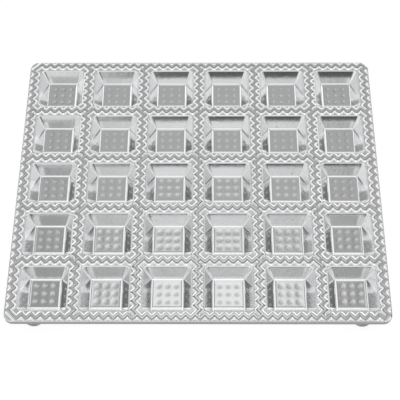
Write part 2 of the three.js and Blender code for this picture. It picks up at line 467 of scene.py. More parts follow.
class Patch:
    """A mesh in the making: points in millimetres, each with the surface that it lies on."""

    def __init__(self) -> None:
        """Starts with no points."""
        self.points: list[Spot] = []
        self.surfaces: list[Surface] = []
        self.faces: list[tuple[int, ...]] = []

    def spots(self, places: Sequence[Spot], surface: Surface) -> list[int]:
        """Adds points.

        Args:
            places: the points.
            surface: what they lie on.

        Returns:
            The numbers of the points.
        """
        first = len(self.points)
        self.points.extend(places)
        self.surfaces.extend([surface] * len(places))
        return list(range(first, len(self.points)))

    def ring(self, outline: Sequence[Point], height: float, surface: Surface) -> list[int]:
        """Adds a closed row of points at a height, counter-clockwise in plan."""
        return self.spots([(x, y, height) for x, y in outline], surface)

    def band(self, outer: Sequence[int], inner: Sequence[int]) -> None:
        """Joins two rings, which have equal counts or one count that is a multiple of the other.

        Args:
            outer: the ring that surrounds the other, where the band faces upwards.
            inner: the ring inside it.
        """
        longest = max(len(outer), len(inner))
        for i in range(longest):
            after = (i + 1) % longest
            corners: list[int] = []
            for ring, step in ((outer, i), (outer, after), (inner, after), (inner, i)):
                number = ring[step * len(ring) // longest]
                if number not in corners:
                    corners.append(number)
            self.faces.append(tuple(corners))

    def bands(self, rings: Sequence[Sequence[int]], outwards: bool = False) -> None:
        """Joins each ring to the next.

        Args:
            rings: the rings.
            outwards: whether each next ring is the outer one of its band.
        """
        for first, second in zip(rings, rings[1:]):
            self.band(*((second, first) if outwards else (first, second)))

    def fill(
        self,
        outer: Sequence[int],
        inner: Sequence[int],
        upwards: bool = True,
        between: Sequence[int] = (),
    ) -> None:
        """Fills the space between two rings of any counts with triangles.

        Args:
            outer: the ring round the outside.
            inner: the ring inside it, or nothing.
            upwards: whether the faces look up or down.
            between: loose points that the triangles meet.
        """
        numbers = [*outer, *inner, *between]
        plan = [Vector(self.points[number][:2]) for number in numbers]
        edges = []
        for start, count in ((0, len(outer)), (len(outer), len(inner))):
            edges.extend((start + i, start + (i + 1) % count) for i in range(count))
        places, _, triangles, sources = delaunay_2d_cdt(plan, edges, [], FILL_INSIDE, CLOSE)[:4]
        hole = plan[len(outer):len(outer) + len(inner)]
        rim = set(inner)
        for triangle in triangles:
            face = [numbers[sources[i][0]] for i in triangle]
            corners = [places[i] for i in triangle]
            in_hole = rim.issuperset(face) and inside(sum(corners, Vector((0, 0))) / 3, hole)
            if in_hole or area_tri(*corners) < SLIVER:
                continue
            self.faces.append(tuple(face if upwards else reversed(face)))

    def mesh(self, name: str) -> bpy.types.Mesh:
        """Makes the mesh in metres, with one mark for each surface.

        Args:
            name: the mesh's name.

        Returns:
            The mesh.
        """
        made = bpy.data.meshes.new(name)
        made.from_pydata([[MM * c for c in point] for point in self.points], [], self.faces)
        for surface in Surface:
            mark = made.attributes.new(surface.value, "FLOAT", "POINT")
            mark.data.foreach_set("value", [float(own is surface) for own in self.surfaces])
        made.shade_smooth()
        return made


def inside(point: Vector, ring: Sequence[Vector]) -> bool:
    """Whether a point lies inside a ring in plan.

    Args:
        point: the point.
        ring: the ring's points.

    Returns:
        True if it does.
    """
    crossings = 0
    for i, start in enumerate(ring):
        end = ring[(i + 1) % len(ring)]
        if (start.y > point.y) != (end.y > point.y):
            share = (point.y - start.y) / (end.y - start.y)
            crossings += start.x + share * (end.x - start.x) > point.x
    return crossings % 2 == 1


def rounded_rectangle(width: float, depth: float, radius: float, steps: int) -> list[Point]:
    """A rectangle with round corners, counter-clockwise.

    Args:
        width: its size in X.
        depth: its size in Y.
        radius: the corners' radius.
        steps: the steps in each corner.

    Returns:
        Its points.
    """
    points = []
    for quarter, (side_x, side_y) in enumerate(((1, 1), (-1, 1), (-1, -1), (1, -1))):
        for i in range(steps + 1):
            angle = (quarter + i / steps) * math.pi / 2
            points.append(
                (
                    side_x * (width / 2 - radius) + radius * math.cos(angle),
                    side_y * (depth / 2 - radius) + radius * math.sin(angle),
                )
            )
    return points


def rounded_offset(loop: Sequence[Vector], distance: float, bend: float) -> list[Point]:
    """A loop moved to its left, with each corner rounded in two steps.

    Args:
        loop: the loop's points, counter-clockwise.
        distance: how far it moves; to the right where negative.
        bend: the corners' radius before the move, which grows it outside a bend and shrinks it inside.

    Returns:
        Three points for each point of the loop.
    """
    points: list[Point] = []
    for i, point in enumerate(loop):
        before = (point - loop[i - 1]).normalized()
        after = (loop[(i + 1) % len(loop)] - point).normalized()
        sides = Vector((-before.y - after.y, before.x + after.x))
        corner = point + sides * (distance / (1 + before.dot(after)))
        half_turn = math.acos(max(-1.0, min(1.0, before.dot(after)))) / 2
        radius = max(bend - math.copysign(distance, before.cross(after) * distance), LEAST_BEND)
        reach = radius * math.tan(half_turn) if half_turn > STRAIGHT else radius
        sagitta = radius * (1 / math.cos(half_turn) - 1)
        middle = corner + (after - before).normalized() * sagitta
        points.extend(tuple(p) for p in (corner - before * reach, middle, corner + after * reach))
    return points


def distance_to(point: Vector, start: Vector, end: Vector) -> float:
    """How far a point is from a straight stroke in plan.

    Args:
        point: the point.
        start: the stroke's start.
        end: the stroke's end.

    Returns:
        The distance.
    """
    nearest, share = intersect_point_line(point, start, end)
    if share < 0 or share > 1:
        nearest = start if share < 0 else end
    return (point - nearest).length


def beyond_rectangle(point: Vector, half_width: float, half_depth: float, radius: float) -> float:
    """How far a point is outside a rounded rectangle about the origin; negative inside.

    Args:
        point: the point in plan.
        half_width: half the rectangle's size in X.
        half_depth: half its size in Y.
        radius: its corners' radius.

    Returns:
        The distance.
    """
    x = abs(point.x) - half_width + radius
    y = abs(point.y) - half_depth + radius
    return math.hypot(max(x, 0.0), max(y, 0.0)) + min(max(x, y), 0.0) - radius


def arc(radius: float, first: float, last: float, steps: int) -> list[Point]:
    """Points on an arc about the origin, from one angle to another in degrees."""
    angles = [math.radians(first + (last - first) * i / steps) for i in range(steps + 1)]
    return [(radius * math.cos(a), radius * math.sin(a)) for a in angles]


def add_object(name: str, mesh: bpy.types.Mesh) -> bpy.types.Object:
    """Puts a mesh in the scene.

    Args:
        name: the object's name.
        mesh: its mesh.

    Returns:
        The object.
    """
    made = bpy.data.objects.new(name, mesh)
    bpy.context.scene.collection.objects.link(made)
    return made


def as_plain_mesh(obj: bpy.types.Object) -> None:
    """Turns an object's modifiers into a plain mesh.

    Args:
        obj: the object, which keeps its name.
    """
    bpy.context.view_layer.update()
    state = bpy.context.evaluated_depsgraph_get()
    plain = bpy.data.meshes.new_from_object(
        obj.evaluated_get(state), preserve_all_data_layers=True, depsgraph=state
    )
    obj.modifiers.clear()
    obj.data = plain
    plain.name = obj.name


def lathe(
    profile: Sequence[Point], centre: Point = (0.0, 0.0), steps: int = TURN_STEPS
) -> bpy.types.Mesh:
    """A body turned about a vertical axis.

    Args:
        profile: (radius, height) pairs in millimetres. They run up the outside, and end at the axis
            or where they began.
        centre: the axis in plan.
        steps: the steps round the axis.

    Returns:
        The mesh.
    """
    patch = Patch()
    rings = []
    for radius, height in profile:
        outline = arc(radius, 0, 360, steps)[:-1] if radius > 0 else [(0.0, 0.0)]
        moved = [(x + centre[0], y + centre[1]) for x, y in outline]
        rings.append(patch.ring(moved, height, Surface.UNDERSIDE))
    patch.bands(rings)
    mesh = patch.mesh("turned")
    work = bmesh.new()
    work.from_mesh(mesh)
    bmesh.ops.remove_doubles(work, verts=work.verts, dist=SEAM)
    work.to_mesh(mesh)
    work.free()
    return mesh


@dataclass
class MouldPlate:
    """The casting: a grid of pockets, the ridges between them, the plate and the feet's bosses.

    Lengths are millimetres and angles degrees. A ridge's profile is (distance from the crest, height over
    the land, surface), and its root is a hollow arc that runs out into the land at `root_end` from the
    crest. A cup is a pocket seen from below. Its top is (depth below the plate, growth of its half width),
    and its bottom is (height over its underside, growth).
    """

    columns: int = 6
    rows: int = 5
    pitch: float = 42.0
    strokes: int = 13
    land_level: float = 14.6
    ridge_height: float = 1.6
    edge_margin: float = 4.0
    corner_radius: float = 6.0
    corner_steps: int = 10
    thickness: float = 3.9
    edge_round: float = 0.65
    edge_steps: int = 4
    rim_width: float = 32.8
    floor_width: float = 21.8
    pocket_depth: float = 9.1
    lip_round: float = 0.8
    lip_steps: int = 4
    wall_guard: float = 0.2
    floor_fillet: float = 0.6
    fillet_steps: int = 3
    floor_sweep: float = 5.0
    sweep_angle: float = 20.0
    sweep_steps: int = 4
    rim_corner: float = 3.0
    floor_corner: float = 0.6
    pocket_corner_steps: int = 6
    panel_width: float = 16.8
    panel_steps: int = 16
    dimple_pitch: float = 5.9
    dimple_radius: float = 2.4
    dimple_depth: float = 0.12
    dimple_middle: float = 0.5
    wall_thickness: float = 2.0
    floor_thickness: float = 2.0
    cup_top: tuple[Point, ...] = ((0.0, 0.7), (0.35, 0.22), (1.0, 0.0))
    cup_bottom: tuple[Point, ...] = ((1.2, 0.0), (0.35, -0.28), (0.0, -1.0))
    boss_radius: float = 6.5
    boss_level: float = 3.2
    boss_round: float = 0.5
    boss_draft: float = 0.15
    pilot_radius: float = 1.55
    pilot_top: float = 9.1
    pilot_tip: float = 0.9
    pilot_start: float = 1.0
    pilot_steps: int = 24
    sharp_angle: float = 52.0
    ridge_bend: float = 0.6
    ridge_profile: tuple[tuple[float, float, Surface], ...] = (
        (0.52, 1.59, Surface.CREST),
        (0.70, 1.53, Surface.FLANK),
        (0.81, 1.40, Surface.FLANK),
        (0.88, 1.18, Surface.FLANK),
        (0.98, 0.80, Surface.FLANK),
    )
    root_round: float = 2.70
    root_end: float = 2.90
    root_steps: tuple[float, ...] = (1.20, 1.55, 1.95, 2.40, 2.90)
    root_spacing: float = 0.88
    root_reach: int = 9
    spot_slack: float = 0.02
    spot_grid: float = 0.12
    land_guard: float = 0.2

    @property
    def stroke(self) -> float:
        """Length of one zig-zag stroke along the ridge."""
        return self.pitch / self.strokes

    @property
    def wall_angle(self) -> float:
        """How steep the pockets' walls are, in radians."""
        return math.atan2(self.pocket_depth, (self.rim_width - self.floor_width) / 2)

    def grid_point(self, column: float, row: float) -> Vector:
        """Where two lines of the grid cross in plan, counted from the front left."""
        return Vector(((column - self.columns / 2) * self.pitch, (row - self.rows / 2) * self.pitch))

    @staticmethod
    def walk_round(column: int, row: int, wide: int, deep: int) -> list[tuple[int, int, int, int]]:
        """The crossings round a block of cells, counter-clockwise.

        Args:
            column: the block's first grid line in X.
            row: the block's first grid line in Y.
            wide: its count of columns.
            deep: its count of rows.

        Returns:
            Each crossing's column and row, with the step in X and Y to the next one.
        """
        steps = [(column + i, row, 1, 0) for i in range(wide)]
        steps += [(column + wide, row + i, 0, 1) for i in range(deep)]
        steps += [(column + wide - i, row + deep, -1, 0) for i in range(wide)]
        steps += [(column, row + deep - i, 0, -1) for i in range(deep)]
        return steps

    def crossing_stroke(self, column: int, row: int) -> list[Vector]:
        """The stroke that the ridges share at a crossing, which leans the other way at each next one.

        Args:
            column: the crossing's number in X.
            row: the crossing's number in Y.

        Returns:
            Its two ends.
        """
        lean = 1 if (column + row) % 2 == 0 else -1
        half = Vector((self.stroke / 2, lean * self.stroke / 2))
        centre = self.grid_point(column, row)
        return [centre - half, centre + half]

    def zigzag(self, column: int, row: int, step_column: int, step_row: int) -> list[Vector]:
        """The zig-zag from a crossing to its neighbour, with the strokes of both.

        Args:
            column: the crossing's number in X.
            row: the crossing's number in Y.
            step_column: 1, 0 or -1.
            step_row: 1, 0 or -1.

        Returns:
            Its points.
        """
        along = Vector((step_column, step_row))
        across = Vector((abs(step_row), abs(step_column)))
        centre = self.grid_point(column, row)
        points = sorted(self.crossing_stroke(column, row), key=lambda point: point.dot(along))
        side = math.copysign(1.0, (points[1] - centre).dot(across))
        for i in range(1, self.strokes + 1):
            side = -side
            reach = along * ((i + 0.5) * self.stroke)
            points.append(centre + reach + across * (side * self.stroke / 2))
        return points

    def zigzag_loop(self, *block: int) -> list[Vector]:
        """The zig-zag round a block of cells. Strokes that run out and straight back are dropped.

        Args:
            block: the block's first column and row, and its counts of columns and rows.

        Returns:
            The closed loop, counter-clockwise.
        """
        loop: list[Vector] = []
        for point in (point for step in self.walk_round(*block) for point in self.zigzag(*step)):
            if loop and self.same(loop[-1], point):
                continue
            if len(loop) > 1 and self.same(loop[-2], point):
                loop.pop()
            else:
                loop.append(point)
        while True:
            if self.same(loop[0], loop[-1]):
                loop.pop()
            elif self.same(loop[0], loop[-2]):
                del loop[-2:]
            elif self.same(loop[1], loop[-1]):
                loop.pop(0)
            else:
                return loop

    def same(self, first: Vector, second: Vector) -> bool:
        """Whether two points of a zig-zag are one."""
        return (first - second).length < self.stroke / 100

    def ridge_side(self, patch: Patch, loop: Sequence[Vector], inwards: bool) -> list[int]:
        """Draws one half of a ridge, from its crest to the top of its hollow root.

        Args:
            patch: the mesh that it goes into.
            loop: the crest.
            inwards: whether the half lies inside the loop or outside.

        Returns:
            The last ring.
        """
        crest_height = self.land_level + self.ridge_height
        ring = patch.ring([tuple(point) for point in loop], crest_height, Surface.CREST)
        for distance, height, surface in self.ridge_profile:
            outline = rounded_offset(loop, distance if inwards else -distance, self.ridge_bend)
            following = patch.ring(outline, self.land_level + height, surface)
            patch.band(*((ring, following) if inwards else (following, ring)))
            ring = following
        return ring

    def root_spots(
        self, loop: Sequence[Vector], inwards: bool, room: Callable[[Vector], float]
    ) -> list[Spot]:
        """Points on the hollow root between a ridge and the land.

        Args:
            loop: the crest.
            inwards: whether the root lies inside the loop or outside.
            room: how far a point in plan is from the edge of the land.

        Returns:
            The points.
        """
        side = 1 if inwards else -1
        count = len(loop)
        reach = range(-self.root_reach, self.root_reach + 1)
        spots = []
        for i, start in enumerate(loop):
            end = loop[(i + 1) % count]
            along = (end - start).normalized()
            across = Vector((-along.y, along.x)) * side
            before = (start - loop[i - 1]).normalized()
            after = (loop[(i + 2) % count] - end).normalized()
            near = [(loop[(i + j) % count], loop[(i + j + 1) % count]) for j in reach]
            for distance in self.root_steps:
                first = distance * math.tan(max(before.angle_signed(along) * -side, 0.0) / 2)
                last = (end - start).length
                last -= distance * math.tan(max(along.angle_signed(after) * -side, 0.0) / 2)
                steps = max(math.ceil((last - first) / self.root_spacing), 1)
                for step in range(steps + 1):
                    share = first + (last - first) * step / steps
                    spots.append((start + along * share + across * distance, distance, near))
                opening = max(along.angle_signed(after) * side, 0.0)
                turns = math.ceil(opening * distance / self.root_spacing)
                for step in range(1, turns):
                    spoke = across.copy()
                    spoke.rotate(Matrix.Rotation(-side * opening * step / turns, 2))
                    spots.append((end + spoke * distance, distance, near))
        kept: dict[tuple[int, int], Spot] = {}
        for spot, distance, near in spots:
            gap = min(distance_to(spot, *ends) for ends in near)
            if gap > distance - self.spot_slack and room(spot) > self.land_guard:
                left = max(self.root_end - gap, 0.0)
                height = self.root_round - math.sqrt(self.root_round**2 - left**2)
                key = (round(spot.x / self.spot_grid), round(spot.y / self.spot_grid))
                kept.setdefault(key, (spot.x, spot.y, self.land_level + height))
        return list(kept.values())

    def pocket_rings(self) -> list[tuple[float, float, Surface]]:
        """The pocket's levels from the lip to the flat floor.

        Returns:
            The half width, the depth and the surface of each.
        """
        angle = self.wall_angle
        half_rim = self.rim_width / 2
        lip = self.lip_round * math.tan(angle / 2)
        levels = []
        for i in range(self.lip_steps + 1):
            bend = angle * i / self.lip_steps
            width = half_rim + lip - self.lip_round * math.sin(bend)
            depth = self.lip_round * (1 - math.cos(bend))
            levels.append((width, depth, Surface.LAND if i < self.lip_steps / 2 else Surface.WALL))
        sweep = math.radians(self.sweep_angle)
        foot = []
        run = rise = 0.0
        for radius, first, last, steps in (
            (self.floor_sweep, 0.0, sweep, self.sweep_steps),
            (self.floor_fillet, sweep, angle, self.fillet_steps),
        ):
            for i in range(steps):
                start, end = (first + (last - first) * (i + j) / steps for j in range(2))
                foot.append((run, rise))
                run += radius * (math.sin(end) - math.sin(start))
                rise += radius * (math.cos(start) - math.cos(end))
        foot.append((run, rise))
        for depth in (depth + self.wall_guard, self.pocket_depth - rise - self.wall_guard):
            levels.append((half_rim - depth / math.tan(angle), depth, Surface.WALL))
        flat = half_rim - (self.pocket_depth - rise) / math.tan(angle) - run
        for run, rise in reversed(foot):
            surface = Surface.WALL if rise else Surface.FLOOR
            levels.append((flat + run, self.pocket_depth - rise, surface))
        return levels

    def square_ring(self, half: float, depth: float, grow: float = 0.0) -> list[Point]:
        """A pocket's rounded square at a depth.

        Args:
            half: half its width.
            depth: its depth below the land.
            grow: how far the outline is moved out.

        Returns:
            Its points.
        """
        share = min(max(depth / self.pocket_depth, 0.0), 1.0)
        radius = self.rim_corner + share * (self.floor_corner - self.rim_corner)
        width = 2 * (half + grow)
        return rounded_rectangle(width, width, radius + grow, self.pocket_corner_steps)

    def dimpled_panel(self, patch: Patch) -> list[int]:
        """Draws the floor's panel of shallow dimples.

        Args:
            patch: the mesh that it goes into.

        Returns:
            The ring round the panel.
        """
        steps = self.panel_steps
        level = self.land_level - self.pocket_depth
        places = [(i / steps - 0.5) * self.panel_width for i in range(steps + 1)]
        grid: list[list[int]] = []
        for y in places:
            grid.append([])
            for x in places:
                off = [place - self.dimple_pitch * min(max(round(place / self.dimple_pitch), -1), 1)
                       for place in (x, y)]
                share = min(math.hypot(*off) / self.dimple_radius, 1.0)
                dip = self.dimple_depth * math.cos(math.pi / 2 * share) ** 2
                surface = Surface.DIMPLE if share < self.dimple_middle else Surface.FLOOR
                grid[-1] += patch.ring([(x, y)], level - dip, surface)
        for low, high in zip(grid, grid[1:]):
            for i in range(steps):
                patch.faces.append((low[i], low[i + 1], high[i + 1], high[i]))
        sides = [grid[0][:-1], [row[-1] for row in grid[:-1]]]
        sides += [grid[-1][:0:-1], [row[0] for row in grid[:0:-1]]]
        return [number for side in sides for number in side]

    def cell(self, parity: int) -> bpy.types.Mesh:
        """One cell of the grid: half a ridge all round, land, pocket and underside.

        Args:
            parity: 0 or 1, for the two ways in which the crossings at its corners lean.

        Returns:
            The mesh, centred on the cell.
        """
        patch = Patch()
        middle = self.grid_point(parity + 0.5, 0.5)
        loop = [point - middle for point in self.zigzag_loop(parity, 0, 1, 1)]
        ring = self.ridge_side(patch, loop, True)
        rings = []
        for half, depth, surface in self.pocket_rings():
            outline = self.square_ring(half, depth)
            rings.append(patch.ring(outline, self.land_level - depth, surface))
        lip = self.pocket_rings()[0][0]
        spots = self.root_spots(loop, True, lambda spot: beyond_rectangle(spot, lip, lip, self.rim_corner))
        patch.fill(ring, rings[0], True, patch.spots(spots, Surface.ROOT))
        patch.bands(rings)
        patch.fill(rings[-1], self.dimpled_panel(patch))
        self.cell_underside(patch)
        return patch.mesh(f"cell_{parity}")

    def cell_underside(self, patch: Patch) -> None:
        """Draws the underside of a cell: the plate and the shell of its pocket.

        Args:
            patch: the mesh that it goes into.
        """
        half = self.pitch / 2
        square = [(-half, -half), (half, -half), (half, half), (-half, half)]
        outer = patch.ring(square, self.land_level - self.thickness, Surface.UNDERSIDE)
        grow = self.wall_thickness / math.sin(self.wall_angle)
        slope = 1 / math.tan(self.wall_angle)
        bottom = self.pocket_depth + self.floor_thickness
        levels = [(self.thickness + drop, extra) for drop, extra in self.cup_top]
        levels += [(bottom - rise, extra) for rise, extra in self.cup_bottom]
        rings = []
        for depth, extra in levels:
            width = self.rim_width / 2 - slope * depth + extra
            outline = self.square_ring(width, depth, grow)
            rings.append(patch.ring(outline, self.land_level - depth, Surface.UNDERSIDE))
        patch.fill(outer, rings[0], False)
        patch.bands(rings, outwards=True)
        patch.fill(rings[-1], [], False)

    def border(self) -> bpy.types.Mesh:
        """The margin round the grid: the outer half of the outer ridge, the plate's edge and its underside.

        Returns:
            The mesh.
        """
        patch = Patch()
        loop = self.zigzag_loop(0, 0, self.columns, self.rows)
        ring = self.ridge_side(patch, loop, False)
        width = self.columns * self.pitch + 2 * self.edge_margin
        depth = self.rows * self.pitch + 2 * self.edge_margin
        levels = []
        for x, y in arc(self.edge_round, 90, 0, self.edge_steps):
            levels.append((self.edge_round - x, self.edge_round - y))
        for x, y in arc(self.edge_round, 0, -90, self.edge_steps):
            levels.append((self.edge_round - x, self.thickness - self.edge_round - y))
        rings = []
        for i, (inset, drop) in enumerate(levels):
            sizes = (width - 2 * inset, depth - 2 * inset, self.corner_radius - inset)
            outline = rounded_rectangle(*sizes, self.corner_steps)
            surface = Surface.LAND if i < self.edge_steps - 1 else Surface.EDGE
            if i == len(levels) - 1:
                surface = Surface.UNDERSIDE
            rings.append(patch.ring(outline, self.land_level - drop, surface))
        flat = [size - self.edge_round for size in (width / 2, depth / 2, self.corner_radius)]
        spots = self.root_spots(loop, False, lambda spot: -beyond_rectangle(spot, *flat))
        patch.fill(rings[0], ring, True, patch.spots(spots, Surface.ROOT))
        patch.bands(rings, outwards=True)
        corners = self.walk_round(0, 0, self.columns, self.rows)
        crossings = [tuple(self.grid_point(column, row)) for column, row, *_ in corners]
        under = patch.ring(crossings, self.land_level - self.thickness, Surface.UNDERSIDE)
        patch.fill(rings[-1], under, False)
        return patch.mesh("border")

    def boss(self) -> bpy.types.Mesh:
        """The round post that a foot is screwed to.

        Returns:
            The mesh.
        """
        low = self.boss_level
        top = self.land_level - self.thickness / 2
        profile = [
            (0.0, low),
            (self.boss_radius - self.boss_round, low),
            (self.boss_radius - self.boss_draft, low + self.boss_draft),
            (self.boss_radius, low + self.boss_round),
            (self.boss_radius + self.boss_draft, top),
            (0.0, top),
        ]
        return lathe(profile)

    def pocket_room(self) -> bpy.types.Mesh:
        """The room of a pocket and half its wall, which no boss may reach into.

        Returns:
            The mesh.
        """
        patch = Patch()
        grow = self.wall_thickness / 2
        rings = []
        for half, depth, _ in self.pocket_rings():
            outline = self.square_ring(half, depth, grow)
            rings.append(patch.ring(outline, self.land_level - depth - grow, Surface.UNDERSIDE))
        patch.bands(rings, outwards=True)
        patch.fill(rings[0], [])
        patch.fill(rings[-1], [], False)
        return patch.mesh("pocket_room")

    def pilot(self) -> bpy.types.Mesh:
        """The hole for a foot's screw, as the body that is cut away.

        Returns:
            The mesh.
        """
        low = self.boss_level - self.pilot_start
        profile = [
            (0.0, low),
            (self.pilot_radius, low),
            (self.pilot_radius, self.pilot_top - self.pilot_tip),
            (0.0, self.pilot_top),
        ]
        return lathe(profile, steps=self.pilot_steps)

    def tree(self) -> bpy.types.NodeTree:
        """The node tree that sets the cells out in the grid and joins everything to one casting.

        Returns:
            The tree, with named inputs.
        """
        group = bpy.data.node_groups.new("mould_grid", "GeometryNodeTree")
        inputs = {
            "Columns": "NodeSocketInt",
            "Rows": "NodeSocketInt",
            "Pitch": "NodeSocketFloat",
            "Even Cell": "NodeSocketObject",
            "Odd Cell": "NodeSocketObject",
            "Border": "NodeSocketObject",
            "Boss": "NodeSocketObject",
            "Pocket Room": "NodeSocketObject",
            "Pilot Hole": "NodeSocketObject",
            "Boss Reach": "NodeSocketVector",
            "Weld": "NodeSocketFloat",
            "Finish": "NodeSocketMaterial",
        }
        for name, kind in inputs.items():
            group.interface.new_socket(name, in_out="INPUT", socket_type=kind)
        group.interface.new_socket("Geometry", in_out="OUTPUT", socket_type="NodeSocketGeometry")
        tree = Tree(group)
        given_node = group.nodes.new("NodeGroupInput")
        given = {name: Socket(tree, given_node.outputs[name]) for name in inputs}

        index = tree.node("GeometryNodeInputIndex")
        columns = given["Columns"]
        rows = given["Rows"]
        column = index % columns
        row = (index / columns).floored()
        x = (column + 0.5 - columns * 0.5) * given["Pitch"]
        y = (row + 0.5 - rows * 0.5) * given["Pitch"]
        middle = tree.node("ShaderNodeCombineXYZ", None, {"X": x, "Y": y})
        cells = tree.node("GeometryNodePoints", None, {"Count": columns * rows, "Position": middle})
        odd = (column + row) % 2
        parts = [
            tree.placed(given["Even Cell"], cells, 1 - odd),
            tree.placed(given["Odd Cell"], cells, odd),
            tree.geometry_of(given["Border"]),
        ]
        whole = tree.realized(tree.node("GeometryNodeJoinGeometry", None, {"Geometry": parts}))
        body = tree.node(
            "GeometryNodeMergeByDistance", None, {"Geometry": whole, "Distance": given["Weld"]}
        )
        side_x = index % 2 * 2 - 1
        side_y = (index / 2).floored() * 2 - 1
        sides = tree.node("ShaderNodeCombineXYZ", None, {"X": side_x, "Y": side_y})
        reach = tree.node(
            "ShaderNodeVectorMath", {"operation": "MULTIPLY"}, {0: sides, 1: given["Boss Reach"]}
        )
        feet = tree.node("GeometryNodePoints", None, {"Count": len(Corner), "Position": reach})
        rooms = tree.realized(tree.placed(given["Pocket Room"], cells))
        bosses = tree.boolean("DIFFERENCE", tree.realized(tree.placed(given["Boss"], feet)), rooms)
        body = tree.boolean("UNION", body, bosses)
        body = tree.boolean("DIFFERENCE", body, tree.realized(tree.placed(given["Pilot Hole"], feet)))
        dressed = tree.node(
            "GeometryNodeSetMaterial",
            None,
            {"Geometry": tree.realized(body), "Material": given["Finish"]},
        )
        output = group.nodes.new("NodeGroupOutput")
        tree.feed(output.inputs[0], dressed)
        return group

    def build(self, finish: bpy.types.Material) -> bpy.types.Object:
        """Makes the casting and dresses it.

        Args:
            finish: its material.

        Returns:
            The piece.
        """
        sources = {
            "Even Cell": add_object("even_cell", self.cell(0)),
            "Odd Cell": add_object("odd_cell", self.cell(1)),
            "Border": add_object("border", self.border()),
            "Boss": add_object("boss", self.boss()),
            "Pocket Room": add_object("pocket_room", self.pocket_room()),
            "Pilot Hole": add_object("pilot", self.pilot()),
        }
        low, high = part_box("foot_back_right")
        values = {
            "Columns": self.columns,
            "Rows": self.rows,
            "Pitch": self.pitch * MM,
            "Boss Reach": tuple((low + high) / 2)[:2] + (0.0,),
            "Weld": WELD,
            "Finish": finish,
            **sources,
        }
        piece = add_object("cast_plate", bpy.data.meshes.new("cast_plate"))
        piece.data.materials.append(finish)
        grid = piece.modifiers.new("mould_grid", "NODES")
        grid.node_group = self.tree()
        for item in grid.node_group.interface.items_tree:
            if item.in_out == "INPUT":
                grid[item.identifier] = values[item.name]
        as_plain_mesh(piece)
        for source in sources.values():
            bpy.data.objects.remove(source)
        piece.data.set_sharp_from_angle(angle=math.radians(self.sharp_angle))
        weighted = piece.modifiers.new("weighted", "WEIGHTED_NORMAL")
        weighted.keep_sharp = True
        as_plain_mesh(piece)
        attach(piece, BODY)
        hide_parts("mould_plate")
        return piece


